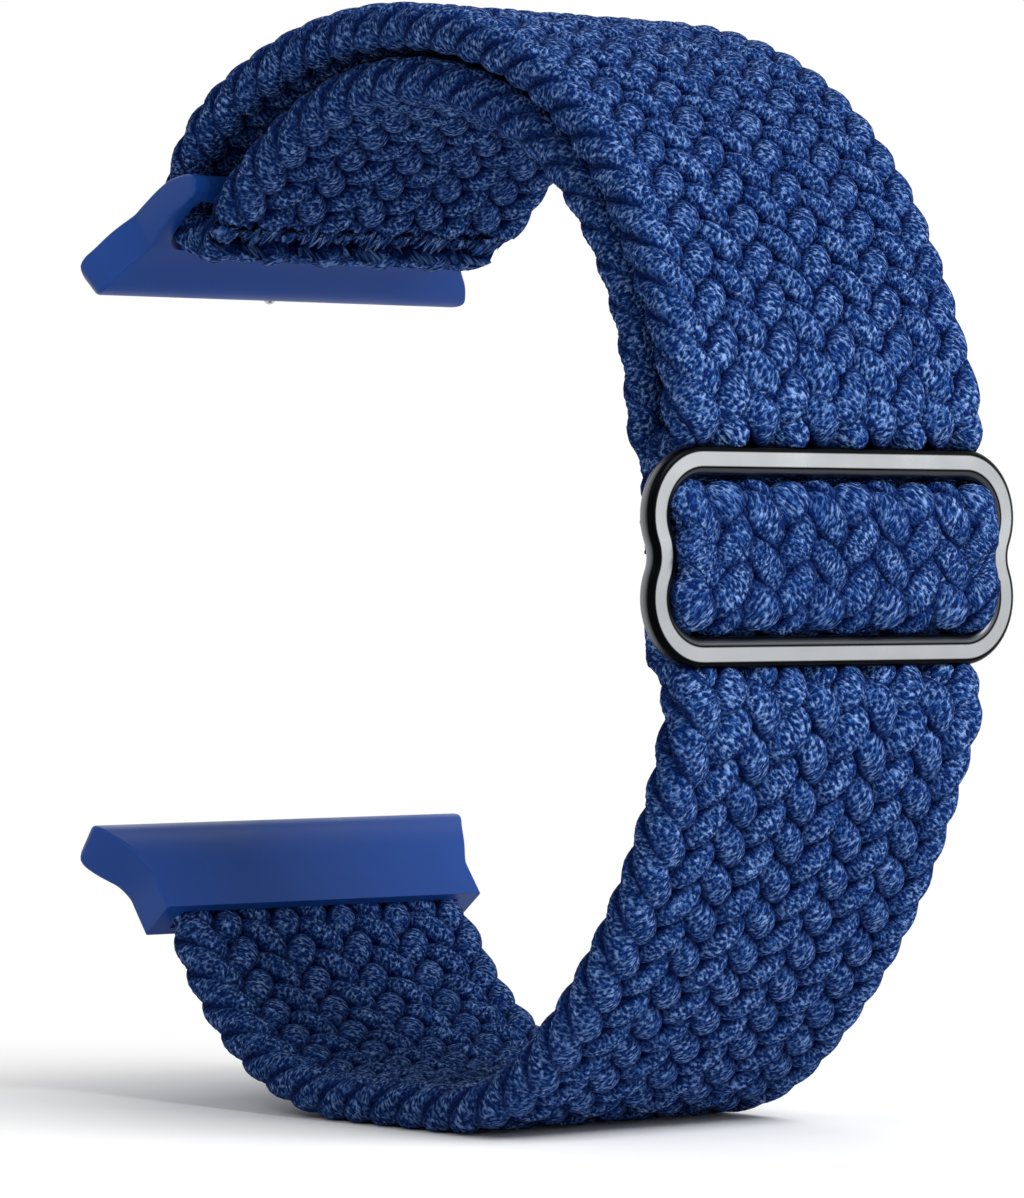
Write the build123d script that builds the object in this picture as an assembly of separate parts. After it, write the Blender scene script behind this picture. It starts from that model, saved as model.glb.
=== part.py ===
from build123d import *
from math import acos, atan2, cos, degrees, hypot, radians, sin, tan
import os

# Braided elastic watch strap: a loop of flat braid between two lug connectors, with a slider on it.
# Lengths are in millimetres and angles in degrees. The loop lies in the plane of Y and Z. A place in
# that plane is written (out, up): out is towards the slider, which is -Y, and up is +Z from the
# lowest line of the braid. The strap is as wide as X. A heading of 0 points out and one of 90 up.

# braid
strap_width = 24.5
strap_thickness = 3.0
crown_thickness = 2.1
layer_gap = 0.3
fold_narrowing = 1.0
seam_gap = 0.2

# bottom of the loop, where it stands
bottom_back_out = 15.5
bottom_length = 10.5
lower_bend_radius = 18.0
lower_bend_angle = 52.4
lower_lead = 4.35

# slider side of the loop
corner_radius = 14.2
corner_angle = 39.5
slider_arc_radius = 40.4
slider_arc_end_angle = 119.7
dip_radius_share = 0.265
dip_turn_angle = 10.0
dip_taper = 1.2

# top of the loop
front_arc_radius = 25.7
front_arc_end_angle = 158.7
top_arc_radius = 33.7
top_arc_end_angle = 212.0

# fold round the upper connector's bar, and the inner layer that comes back from it
fold_radius = 3.1
fold_ahead = 2.5
fold_aside = 3.7
fold_end_angle = 42.0
fold_lead = 4.0
inner_front_step = 4.0
inner_end_height = 5.0

# slider
slider_height = 13.3
slider_depth = 1.4
slider_sink = 1.2
slider_rim = 1.9
slider_corner = 4.2
waist_depth = 0.5
front_rounding = 0.45
back_rounding = 0.7
centre_bar_height = 2.0
centre_bar_depth = 1.2
centre_bar_root = 0.9
centre_bar_rounding = 0.35
slider_clear = 0.35
braid_clear = 0.25

# braid's path through the slider
dive_radius = 1.6
crown_radius = 2.0

# sewn end round the centre bar
tape_narrowing = 1.5
tape_thickness = 0.5
tape_gap = 0.1
tape_root = 0.7
tab_thickness = 1.5
tab_bend_radius = 1.9
tab_rise = 1.3
stitch_length = 1.5
stitch_pitch = 2.1
stitch_radius = 0.14
stitch_count = 10

# lug inserts, the same on both connectors
insert_width = 31.0
insert_radius = 1.65
insert_corner = 1.0
arm_width = 1.25
insert_land = 1.6
flare_length = 1.9
flare_rounding = 1.2

# lower connector
lower_slab_length = 4.3
lower_slab_thickness = 3.3
lower_tip_angle = 15.5
lower_tip_length = 1.9
moulded_narrowing = 1.2
moulded_thickness = 1.8
moulded_depth = 3.0
joint_gap = 0.1

# upper connector
bar_setback = 0.35
bar_radius = 0.9
arm_tip_length = 1.2
arm_tip_angle = 12.0
arm_tip_radius = 0.75
arm_length = 2.2
arm_angle = 201.0
arm_radius = 1.15
shoulder_length = 4.2
shoulder_angle = 217.0
shoulder_radius = 1.55
upper_tip_length = 2.4
upper_tip_angle = 230.0
slot_length = 5.3
slot_clear = 0.25
slot_corner = 1.3

# sprung catch in each insert
sleeve_radius = 1.0
sleeve_length = 3.0
sleeve_bore = 0.70
sleeve_floor = 0.3
lip_bore = 0.47
lip_length = 0.4
sleeve_recess = 0.35
plunger_clear = 0.05
plunger_collar = 0.7
plunger_reach = 0.6
end_play = 0.02
spring_wire = 0.1
spring_turn_count = 3.5

# how far a cutter runs past what it cuts
overrun = 2.0


def place(out, up, x=0):
    """The point in space of a place in the loop's plane."""
    return Vector(x, -out, up)


def ahead(heading):
    """Unit step along a heading, as (out, up)."""
    return cos(radians(heading)), sin(radians(heading))


def step(point, heading, length):
    """The place that lies a length away along a heading."""
    out, up = ahead(heading)
    return point[0] + out * length, point[1] + up * length


def direction(heading):
    """A heading as a vector in space."""
    out, up = ahead(heading)
    return Vector(0, -out, up)


loop_plane = Plane(origin=(0, 0, 0), x_dir=(0, -1, 0), z_dir=(-1, 0, 0))


class Trail:
    """A walk along the braid's middle line that lays a flat band with round edges behind it."""

    def __init__(self, point, heading, width=strap_width, thickness=strap_thickness):
        self.point = point
        self.heading = heading
        self.width = width
        self.thickness = thickness
        self.laid = []

    def section(self):
        across = Plane(origin=place(*self.point), x_dir=(1, 0, 0), z_dir=direction(self.heading))
        return across * SlotOverall(self.width, self.thickness)

    def run(self, length):
        self.laid.append(extrude(self.section(), length))
        self.point = step(self.point, self.heading, length)

    def bend(self, radius, turn):
        """An arc: a positive turn goes left, a negative one right."""
        left = 1 if turn > 0 else -1
        centre = step(self.point, self.heading + left * 90, radius)
        axis = Axis(place(*centre), (-left, 0, 0))
        self.laid.append(revolve(self.section(), axis, abs(turn)))
        self.heading += turn
        self.point = step(centre, self.heading - left * 90, radius)

    def taper(self, length, thickness):
        start = self.section()
        self.point = step(self.point, self.heading, length)
        self.thickness = thickness
        self.laid.append(loft([start, self.section()], ruled=True))

    def skip(self, length):
        self.point = step(self.point, self.heading, length)

    def take(self):
        """The solid of what was laid since the last take."""
        whole = self.laid[0]
        for piece in self.laid[1:]:
            whole += piece
        self.laid = []
        return whole


def joining_radius(point, side_heading, centre, radius):
    """Radius of an arc from a place that touches a circle, with its centre off to the given side."""
    away = (point[0] - centre[0], point[1] - centre[1])
    side = ahead(side_heading)
    lean = away[0] * side[0] + away[1] * side[1]
    return (radius**2 - away[0] ** 2 - away[1] ** 2) / (2 * (radius + lean))


def heading_to(start, end):
    return degrees(atan2(end[1] - start[1], end[0] - start[0]))


def tapered_bar(start, start_radius, end, end_radius):
    """Outline of two circles and the tangents that join them."""
    middle = heading_to(start, end)
    spread = degrees(acos((start_radius - end_radius) / hypot(end[0] - start[0], end[1] - start[1])))
    corners = [
        step(start, middle + spread, start_radius),
        step(end, middle + spread, end_radius),
        step(end, middle - spread, end_radius),
        step(start, middle - spread, start_radius),
    ]
    ends = Pos(*start) * Circle(start_radius) + Pos(*end) * Circle(end_radius)
    return Polygon(*corners, align=None) + ends


def dip_arcs():
    """Where the braid leaves the slider arc, as an angle from its front, and the two arcs behind it."""
    turn = radians(dip_turn_angle)
    low = under_height + dip_taper
    large = slider_arc_radius * dip_radius_share
    reach = under_out - slider_arc_out - large * cos(turn) - tan(turn / 2) * (low + large * sin(turn))
    side = acos(cos(turn / 2) * reach / (slider_arc_radius - large)) - turn / 2
    rise = slider_arc_radius * sin(side) - low
    small = (rise - large * (sin(side) + sin(turn))) / sin(turn)
    return degrees(side), large, small


# sizes that follow from the ones above
fold_width = strap_width - fold_narrowing
tape_width = strap_width - tape_narrowing
moulded_width = strap_width - moulded_narrowing
slot_width = fold_width + 2 * slot_clear
slab_width = slot_width + 2 * arm_width
slider_width = strap_width + 2 * (slider_clear + slider_rim + waist_depth)
inner_front_radius = front_arc_radius - inner_front_step

# places that follow from the sizes above, each one from the one before it along the loop
bottom_back = (bottom_back_out, strap_thickness / 2)
corner_start = step(bottom_back, 0, bottom_length)
corner_centre = step(corner_start, 90, corner_radius)
slider_centre = step(corner_centre, corner_angle + 90, slider_arc_radius - corner_radius)
slider_arc_out, slider_arc_up = slider_centre
slider_front_out = slider_arc_out + slider_arc_radius + strap_thickness / 2 - slider_sink
slider_back_out = slider_front_out - slider_depth
bar_front_out = slider_back_out + centre_bar_depth
under_out = slider_back_out - braid_clear - crown_thickness / 2
under_height = slider_height / 2 + slider_clear + seam_gap
leg_height = slider_height / 2 - slider_rim - braid_clear - crown_thickness / 2
crown_out = bar_front_out + tape_thickness + 2 * tape_gap + crown_thickness / 2
front_start = step(slider_centre, slider_arc_end_angle - 90, slider_arc_radius)
front_centre = step(front_start, slider_arc_end_angle + 90, front_arc_radius)
top_start = step(front_centre, front_arc_end_angle - 90, front_arc_radius)
top_centre = step(top_start, front_arc_end_angle + 90, top_arc_radius)
top_end = step(top_centre, top_arc_end_angle - 90, top_arc_radius)
fold_centre = step(step(top_end, top_arc_end_angle, fold_ahead), top_arc_end_angle + 90, fold_aside)
bar_centre = step(fold_centre, top_arc_end_angle + 180, bar_setback)


def lower_braid():
    """From the flat bottom back to the lower connector. Gives the solid and the exit place."""
    trail = Trail(bottom_back, 180)
    trail.bend(lower_bend_radius, -lower_bend_angle)
    trail.run(lower_lead)
    solid = trail.take()
    trail.skip(joint_gap)
    return solid, trail.point, trail.heading


def through_slider(trail):
    """Behind the lower bar, over the centre bar and behind the upper bar."""
    trail.thickness = crown_thickness
    behind = slider_height / 2 + slider_clear - leg_height - dive_radius
    trail.run(behind)
    trail.bend(dive_radius, -90)
    trail.run(crown_out - under_out - dive_radius - crown_radius)
    trail.bend(crown_radius, 90)
    trail.run(2 * (leg_height - crown_radius))
    trail.bend(crown_radius, 90)
    trail.run(crown_out - under_out - dive_radius - crown_radius)
    trail.bend(dive_radius, -90)
    trail.run(behind)
    return trail.take()


def loop_braid():
    """All stretches of the braid from the flat bottom round to the inner layer's end."""
    nodes = {}
    side, large, small = dip_arcs()
    trail = Trail(bottom_back, 0)
    trail.run(bottom_length)
    trail.bend(corner_radius, corner_angle)
    nodes["braid_bottom_run"] = trail.take()

    trail.bend(slider_arc_radius, 90 - side - trail.heading)
    trail.bend(large, side + dip_turn_angle)
    trail.bend(small, -dip_turn_angle)
    trail.taper(dip_taper, crown_thickness)
    nodes["braid_front_lower"] = trail.take()

    trail.skip(seam_gap)
    nodes["braid_slider_crown"] = through_slider(trail)
    trail.skip(seam_gap)

    trail.taper(dip_taper, strap_thickness)
    trail.bend(small, -dip_turn_angle)
    trail.bend(large, side + dip_turn_angle)
    trail.bend(slider_arc_radius, slider_arc_end_angle - trail.heading)
    nodes["braid_front_upper"] = trail.take()

    trail.bend(front_arc_radius, front_arc_end_angle - slider_arc_end_angle)
    trail.bend(top_arc_radius, top_arc_end_angle - front_arc_end_angle)
    nodes["braid_outer_top"] = trail.take()

    trail.width = fold_width
    hook = joining_radius(trail.point, trail.heading + 90, fold_centre, fold_radius)
    hook_centre = step(trail.point, trail.heading + 90, hook)
    trail.bend(hook, heading_to(hook_centre, fold_centre) + 90 - trail.heading)
    trail.bend(fold_radius, fold_end_angle + 360 - trail.heading)
    trail.heading = fold_end_angle
    trail.run(fold_lead)
    nodes["braid_fold"] = trail.take()

    trail.width = strap_width
    inner_top_radius = top_arc_radius - strap_thickness - layer_gap
    meet = joining_radius(trail.point, trail.heading - 90, top_centre, inner_top_radius)
    meet_centre = step(trail.point, trail.heading - 90, meet)
    contact = heading_to(top_centre, meet_centre) - 90
    trail.bend(meet, contact - trail.heading)
    trail.bend(inner_top_radius, front_arc_end_angle - 180 - contact)
    nodes["braid_inner_top"] = trail.take()

    trail.bend(inner_front_radius, -90 - trail.heading)
    inner_out = trail.point[0]
    trail.run(trail.point[1] - slider_arc_up - inner_end_height)
    nodes["braid_inner_tail"] = trail.take()
    return nodes, inner_out


def slider_outline():
    """Front view of the frame: round corners that run into a hollow in each side."""
    half_width, half_height = slider_width / 2, slider_height / 2
    corner = (half_width - slider_corner, half_height - slider_corner)
    reach = (waist_depth**2 + corner[1] ** 2) / (2 * waist_depth)
    waist = (corner[0] + reach - waist_depth, 0)
    meet = step(corner, heading_to(corner, waist), slider_corner)
    knuckle = step(corner, 45, slider_corner)
    top = Line((-corner[0], half_height), (corner[0], half_height))
    bend = ThreePointArc(top @ 1, knuckle, meet)
    hollow = ThreePointArc(meet, (half_width - waist_depth, 0), (meet[0], -meet[1]))
    right = Curve() + [bend, hollow, mirror(bend, Plane.XZ)]
    return make_face(Curve() + [top, mirror(top, Plane.XZ), right, mirror(right, Plane.YZ)])


def slider_frame():
    """Flat frame with pinched sides and a centre bar between them."""
    outline = slider_outline()
    window = offset(outline, -slider_rim)
    upright = Plane(origin=place(slider_back_out, slider_arc_up), x_dir=(1, 0, 0), z_dir=(0, -1, 0))
    ring = extrude(upright * (outline - window), slider_depth)
    levels = ring.edges().group_by(Axis.Y)
    ring = fillet(levels[-1], back_rounding)
    front = ring.edges().group_by(Axis.Y)[0]
    ring = fillet(front, front_rounding)
    inner_half = slider_width / 2 - waist_depth - slider_rim
    bar_length = 2 * (inner_half + centre_bar_root)
    bar = Box(bar_length, centre_bar_depth, centre_bar_height)
    bar = fillet(bar.edges().filter_by(Axis.X), centre_bar_rounding)
    return ring + Pos(0, -slider_back_out - centre_bar_depth / 2, slider_arc_up) * bar


def sewn_end(inner_out):
    """Flattened end of the braid: a loop round the centre bar and a tab up to the inner layer."""
    middle = (slider_back_out + centre_bar_depth / 2, slider_arc_up)
    hole_out, hole_up = centre_bar_depth + 2 * tape_gap, centre_bar_height + 2 * tape_gap
    round_out, round_up = hole_out + 2 * tape_thickness, hole_up + 2 * tape_thickness
    corner = centre_bar_rounding + tape_gap
    hole = RectangleRounded(hole_out, hole_up, corner)
    loop = RectangleRounded(round_out, round_up, corner + tape_thickness) - hole
    loop = extrude(loop_plane * (Pos(*middle) * loop), tape_width / 2, both=True)
    root_out = middle[0] - round_out / 2 + tape_thickness / 2
    trail = Trail((root_out, slider_arc_up), 180, tape_width, tab_thickness)
    trail.run(root_out - inner_out - tab_bend_radius)
    trail.bend(tab_bend_radius, -90)
    trail.run(tab_rise)
    rest = slider_arc_up + inner_end_height - seam_gap - trail.point[1]
    trail.taper(rest, strap_thickness)
    return loop + trail.take(), root_out


def end_stitching(root_out):
    """Short stitches across the tab, on its upper and lower faces."""
    stitches = []
    first = -stitch_pitch * (stitch_count - 1) / 2
    side = tab_thickness / 2 + stitch_radius
    for row in (-1, 1):
        for index in range(stitch_count):
            spot = place(root_out - tape_root, slider_arc_up + row * side, first + index * stitch_pitch)
            bar = SlotOverall(stitch_length, 2 * stitch_radius) & Pos(0, stitch_radius) * Rectangle(
                stitch_length, 2 * stitch_radius
            )
            stitches.append(Pos(*spot) * revolve(bar, Axis.X, 360))
    return Compound(children=stitches)


def plan_cut(tip, heading, length):
    """Prism of a connector seen flat: a wide insert, a flare and the narrower slab behind it."""
    along = direction(heading)
    flat = Plane(origin=place(*tip), x_dir=(1, 0, 0), z_dir=Vector(1, 0, 0).cross(along))
    wide, narrow = insert_width / 2, slab_width / 2
    flare_start = insert_land - insert_radius
    flare_end = flare_start + flare_length
    corners = [(wide, -insert_radius), (wide, flare_start), (narrow, flare_end), (narrow, length)]
    points = corners + [(-x, y) for x, y in reversed(corners)]
    face = make_face(Polyline(*points, close=True))
    face = fillet(face.vertices().group_by(Axis.Y)[0], insert_corner)
    rows = face.vertices().group_by(Axis.Y)
    face = fillet(rows[-3] + rows[-2], flare_rounding)
    return extrude(flat * face, insert_width, both=True)


def catch_pieces(tip, inward):
    """Sleeve, plunger and spring on the insert's middle line, and the pocket for the sleeve."""
    mouth = step(tip, inward + 180, insert_radius - sleeve_recess)
    bench = Plane(origin=place(*mouth), x_dir=(1, 0, 0), z_dir=direction(inward))
    base = (Align.CENTER, Align.CENTER, Align.MIN)

    def rod(radius, length, start=0):
        return Pos(0, 0, start) * Cylinder(radius, length, align=base)

    sleeve = rod(sleeve_radius, sleeve_length)
    sleeve -= rod(sleeve_bore, sleeve_length - lip_length - sleeve_floor, lip_length)
    sleeve -= rod(lip_bore, lip_length, 0)
    collar_start = lip_length + end_play
    pin_radius = lip_bore - plunger_clear
    pin_out = sleeve_recess + plunger_reach - pin_radius
    plunger = rod(sleeve_bore - plunger_clear, plunger_collar, collar_start)
    plunger += rod(pin_radius, collar_start + pin_out, -pin_out)
    plunger += Pos(0, 0, -pin_out) * Sphere(pin_radius)
    spring_start = collar_start + plunger_collar + end_play + spring_wire
    spring_height = sleeve_length - sleeve_floor - end_play - spring_wire - spring_start
    coil = Helix(spring_height / spring_turn_count, spring_height, sleeve_bore - plunger_clear - spring_wire)
    spring = Pos(0, 0, spring_start) * sweep((coil ^ 0) * Circle(spring_wire), coil)
    pocket = bench * rod(sleeve_radius, sleeve_length + overrun, -overrun)
    return pocket, bench * sleeve, bench * plunger, bench * spring


def lower_connector(exit_place, exit_heading):
    """Slab with the insert at its top and a pocket for the braid's moulded end."""
    shoulder = step(exit_place, exit_heading, lower_slab_length)
    tip = step(shoulder, exit_heading + lower_tip_angle, lower_tip_length)
    half = lower_slab_thickness / 2
    slab = Polygon(
        step(exit_place, exit_heading + 90, half),
        step(exit_place, exit_heading - 90, half),
        step(shoulder, exit_heading - 90, half),
        step(shoulder, exit_heading + 90, half),
        align=None,
    )
    profile = slab + tapered_bar(shoulder, half, tip, insert_radius)
    body = extrude(loop_plane * profile, insert_width / 2, both=True)
    body &= plan_cut(tip, exit_heading + 180, lower_slab_length + lower_tip_length + overrun)
    trail = Trail(exit_place, exit_heading, moulded_width, moulded_thickness)
    trail.run(moulded_depth)
    moulded = trail.take()
    inward = heading_to(tip, shoulder)
    pocket, sleeve, plunger, spring = catch_pieces(tip, inward)
    nodes = {
        "lower_connector": body - moulded - pocket,
        "braid_moulded_end": moulded,
        "lower_plunger_sleeve": sleeve,
        "lower_plunger": plunger,
        "lower_plunger_spring": spring,
    }
    return nodes, tip, inward


def upper_connector():
    """Curved slab with a slot and a round bar across its top."""
    arm_tip = step(bar_centre, arm_tip_angle, arm_tip_length)
    elbow = step(bar_centre, arm_angle, arm_length)
    shoulder = step(elbow, shoulder_angle, shoulder_length)
    tip = step(shoulder, upper_tip_angle, upper_tip_length)
    profile = tapered_bar(arm_tip, arm_tip_radius, bar_centre, bar_radius)
    profile += tapered_bar(bar_centre, bar_radius, elbow, arm_radius)
    profile += tapered_bar(elbow, arm_radius, shoulder, shoulder_radius)
    profile += tapered_bar(shoulder, shoulder_radius, tip, insert_radius)
    body = extrude(loop_plane * profile, insert_width / 2, both=True)
    slab_heading = heading_to(tip, bar_centre)
    length = hypot(tip[0] - bar_centre[0], tip[1] - bar_centre[1]) + overrun
    body &= plan_cut(tip, slab_heading, length)
    slot_reach = slot_length + arm_tip_length + overrun
    slot_face = Pos(0, slot_reach / 2 - slot_length) * Rectangle(slot_width, slot_reach)
    low_corners = slot_face.vertices().group_by(Axis.Y)[0]
    slot_face = fillet(low_corners, slot_corner)
    across = Vector(1, 0, 0).cross(direction(slab_heading))
    flat = Plane(origin=place(*bar_centre), x_dir=(1, 0, 0), z_dir=across)
    body -= extrude(flat * slot_face, insert_radius + overrun, both=True)
    bar = extrude(loop_plane * (Pos(*bar_centre) * Circle(bar_radius)), slab_width / 2, both=True)
    inward = heading_to(tip, shoulder)
    pocket, sleeve, plunger, spring = catch_pieces(tip, inward)
    nodes = {
        "upper_connector": body + bar - pocket,
        "upper_plunger_sleeve": sleeve,
        "upper_plunger": plunger,
        "upper_plunger_spring": spring,
    }
    return nodes, tip, inward


def build():
    lower_solid, exit_place, exit_heading = lower_braid()
    nodes = {"braid_lower_stretch": lower_solid}
    loop_nodes, inner_out = loop_braid()
    nodes.update(loop_nodes)
    nodes["slider_frame"] = slider_frame()
    nodes["braid_sewn_end"], root_out = sewn_end(inner_out)
    nodes["end_stitching"] = end_stitching(root_out)
    lower_nodes, lower_tip, lower_inward = lower_connector(exit_place, exit_heading)
    upper_nodes, upper_tip, upper_inward = upper_connector()
    nodes.update(lower_nodes)
    nodes.update(upper_nodes)
    places = {
        "lower exit": (exit_place, exit_heading),
        "lower tip": (lower_tip, lower_inward),
        "upper tip": (upper_tip, upper_inward),
        "bar": (bar_centre, 0),
        "slider arc": (slider_centre, 0),
    }
    return nodes, places


nodes, places = build()
whole = Compound(children=[Compound(part.solids()) for part in nodes.values()]).bounding_box()
centring = Pos(0, -(whole.min.Y + whole.max.Y) / 2, -whole.min.Z)
os.makedirs("parts", exist_ok=True)
for name, part in nodes.items():
    export_step(centring * Compound(part.solids()), f"parts/{name}.step")
print("shift", centring.position, "size", whole.size)
for name, (spot, heading) in places.items():
    there = centring.position + place(*spot)
    print(name, there, "heading", heading, "vector", direction(heading))
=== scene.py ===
from math import acos, atan2, cos, degrees, hypot, pi, radians, sin, tan

import bmesh
import bpy
import numpy as np
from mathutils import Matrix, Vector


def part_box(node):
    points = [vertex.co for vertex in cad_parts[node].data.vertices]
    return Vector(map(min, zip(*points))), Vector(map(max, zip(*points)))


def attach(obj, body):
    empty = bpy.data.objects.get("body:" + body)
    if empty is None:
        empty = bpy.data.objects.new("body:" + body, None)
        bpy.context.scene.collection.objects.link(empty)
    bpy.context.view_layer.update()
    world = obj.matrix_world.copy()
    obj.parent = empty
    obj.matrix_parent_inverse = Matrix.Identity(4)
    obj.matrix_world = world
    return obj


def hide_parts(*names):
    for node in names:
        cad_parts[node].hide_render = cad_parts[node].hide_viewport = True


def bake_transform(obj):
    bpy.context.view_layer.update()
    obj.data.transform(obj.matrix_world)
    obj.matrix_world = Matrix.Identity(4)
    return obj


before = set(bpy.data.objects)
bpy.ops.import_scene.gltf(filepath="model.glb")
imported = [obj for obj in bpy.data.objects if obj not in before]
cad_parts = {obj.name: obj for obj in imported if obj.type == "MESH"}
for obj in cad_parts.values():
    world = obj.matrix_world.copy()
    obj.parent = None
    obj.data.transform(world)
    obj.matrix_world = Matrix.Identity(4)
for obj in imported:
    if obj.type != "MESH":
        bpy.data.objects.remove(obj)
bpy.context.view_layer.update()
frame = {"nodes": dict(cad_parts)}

# A braided elastic watch strap. Sizes are in millimetres and turned into metres where a mesh is made.
# The loop lies in the plane of Y and Z. A place in it is (out, up): out is towards the slider, -Y,
# and up is +Z. A heading of 0 points out and one of 90 up, as in the part.
MM = 0.001

# the braid's loop, with the part's own sizes
strap_width = 24.5
strap_thickness = 3.0
crown_thickness = 2.1
layer_gap = 0.3
fold_narrowing = 1.0
seam_gap = 0.2
joint_gap = 0.1
bottom_back_out = 15.5
bottom_length = 10.5
lower_bend_radius = 18.0
lower_bend_angle = 52.4
lower_lead = 4.35
corner_radius = 14.2
corner_angle = 39.5
slider_arc_radius = 40.4
slider_arc_end_angle = 119.7
dip_radius_share = 0.265
dip_turn_angle = 10.0
dip_taper = 1.2
front_arc_radius = 25.7
front_arc_end_angle = 158.7
top_arc_radius = 33.7
top_arc_end_angle = 212.0
fold_radius = 3.1
fold_ahead = 2.5
fold_aside = 3.7
fold_end_angle = 42.0
fold_lead = 4.0
inner_front_step = 4.0
inner_end_height = 5.0

# the slider and the sewn end on its centre bar
slider_height = 13.3
slider_depth = 1.4
slider_rim = 1.9
slider_sink = 1.2
slider_corner = 4.2
waist_depth = 0.5
face_outer_rounding = 0.38
face_inner_rounding = 0.6
back_rounding = 0.7
centre_bar_height = 2.0
centre_bar_depth = 1.2
centre_bar_root = 0.9
centre_bar_rounding = 0.35
slider_clear = 0.35
braid_clear = 0.25
dive_radius = 1.2
crown_radius = 1.3
tape_thickness = 0.5
tape_gap = 0.1
tab_thickness = 1.5
tab_bend_radius = 1.9
tab_rise = 1.3
tape_narrowing = 1.5
moulded_narrowing = 1.2
moulded_depth = 3.0
moulded_thickness = 1.8

# the connectors
insert_width = 31.0
insert_radius = 1.65
insert_corner = 1.2
flare_start = 0.9
flare_length = 4.3
arm_width = 1.25
slot_clear = 0.25
slot_length = 5.3
slot_corner = 1.3
lower_slab_length = 4.3
lower_slab_thickness = 3.3
lower_tip_angle = 15.5
lower_tip_length = 1.9
bar_setback = 0.35
bar_radius = 0.9
arm_tip_length = 0.5
arm_tip_angle = 12.0
arm_tip_radius = 0.75
arm_length = 2.2
arm_angle = 201.0
arm_radius = 1.15
shoulder_length = 4.2
shoulder_angle = 217.0
shoulder_radius = 1.55
upper_tip_length = 2.4
upper_tip_angle = 230.0
sleeve_radius = 1.0
sleeve_length = 3.0
sleeve_recess = 0.35
flare_straightness = 0.55
moulded_edge = 0.22
moulded_edge_share = 0.9
lower_edge_rounding = 0.12
upper_edge_rounding = 0.25
slot_mouth_corner = 0.3
bar_shrink = 0.97
bar_tuck = 0.3

# the weave: each cord goes over two and under two on its way across, then turns at the edge
cord_count = 21
column_count = 10
float_pitch = 2.65
cord_half_width = 1.0
cord_half_height = 0.76
cord_lift = 0.78
float_squareness = 1.1
least_plump = 0.82
plump_gain = 0.24
edge_turn_length = 2.4
weave_shift = 0.7
wrap_length = 0.9
cord_circumference = 5.4
yarn_turns_apart = 7

# how cords spread where the braid bends or swells, and over what reach its bend is read
bend_spread = 0.22
swell_spread = 0.12
swell_share = 0.85
bend_reach = 0.8
turn_reach = 0.9

# painted light on the yarn: more painted light at the braid's edges, painted shade in the grooves
# between cords
painted_edge_light = 1.3
groove_width = 0.75
groove_light = 0.45

# how finely the pieces are divided
ring_spacing = 0.30
ring_sides = 14
cord_nudge = 0.02
section_spacing = 0.2
slider_sections = 240
spine_steps = 24
round_sides = 40
end_first_angle = 8
end_last_angle = 86
end_sections = 10

# how the braid sits tighter or looser than its middle line says
crown_gap = -0.05
crown_sink = 1.4
crown_squeeze = 0.85
leg_fullness = 1.3
fold_spread = 0.8
tape_fullness = 1.1
tape_slack = 0.35
tape_widening = 0.6
tail_thickness = 2.0
tail_narrowing = 2.8
tail_forward = 1.2

# how far the braid swells beside the slider's two long bars
swell_height = 1.8
under_edge = 0.5
swell_start = 0.4
swell_place = 1.3
swell_length = 3.4


def ahead(heading):
    return cos(radians(heading)), sin(radians(heading))


def step(point, heading, length):
    """The place that lies a length away along a heading."""
    out, up = ahead(heading)
    return point[0] + out * length, point[1] + up * length


def heading_to(start, end):
    return degrees(atan2(end[1] - start[1], end[0] - start[0]))


def joining_radius(point, side_heading, centre, radius):
    """Radius of an arc from a place that touches a circle, with its centre off to the given side."""
    away = (point[0] - centre[0], point[1] - centre[1])
    side = ahead(side_heading)
    lean = away[0] * side[0] + away[1] * side[1]
    return (radius**2 - away[0] ** 2 - away[1] ** 2) / (2 * (radius + lean))


class Route:
    """Middle line of the braid, laid as runs and arcs and read at any distance along it."""

    def __init__(self, point, heading):
        self.point = point
        self.heading = heading
        self.length = 0.0
        self.spans = []
        self.marks = {}

    def run(self, length):
        self.spans.append((self.length, *self.point, radians(self.heading), 0.0))
        self.point = step(self.point, self.heading, length)
        self.length += length

    def bend(self, radius, turn):
        """An arc: a positive turn goes left, a negative one right."""
        left = 1 if turn > 0 else -1
        self.spans.append((self.length, *self.point, radians(self.heading), left / radius))
        centre = step(self.point, self.heading + left * 90, radius)
        self.heading += turn
        self.point = step(centre, self.heading - left * 90, radius)
        self.length += radius * radians(abs(turn))

    def mark(self, name, shift=0.0):
        self.marks[name] = self.length + shift

    def at(self, distance):
        """(out, up, heading in radians) at each distance."""
        spans = np.array(self.spans)
        index = np.clip(np.searchsorted(spans[:, 0], distance, side="right") - 1, 0, len(spans) - 1)
        start, out, up, heading, curve = spans[index].T
        along = distance - start
        bent = np.abs(curve) > 0
        safe = np.where(bent, curve, 1.0)
        end = heading + curve * along
        out_arc = (np.sin(end) - np.sin(heading)) / safe
        up_arc = (np.cos(heading) - np.cos(end)) / safe
        out = out + np.where(bent, out_arc, np.cos(heading) * along)
        up = up + np.where(bent, up_arc, np.sin(heading) * along)
        return out, up, end


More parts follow.
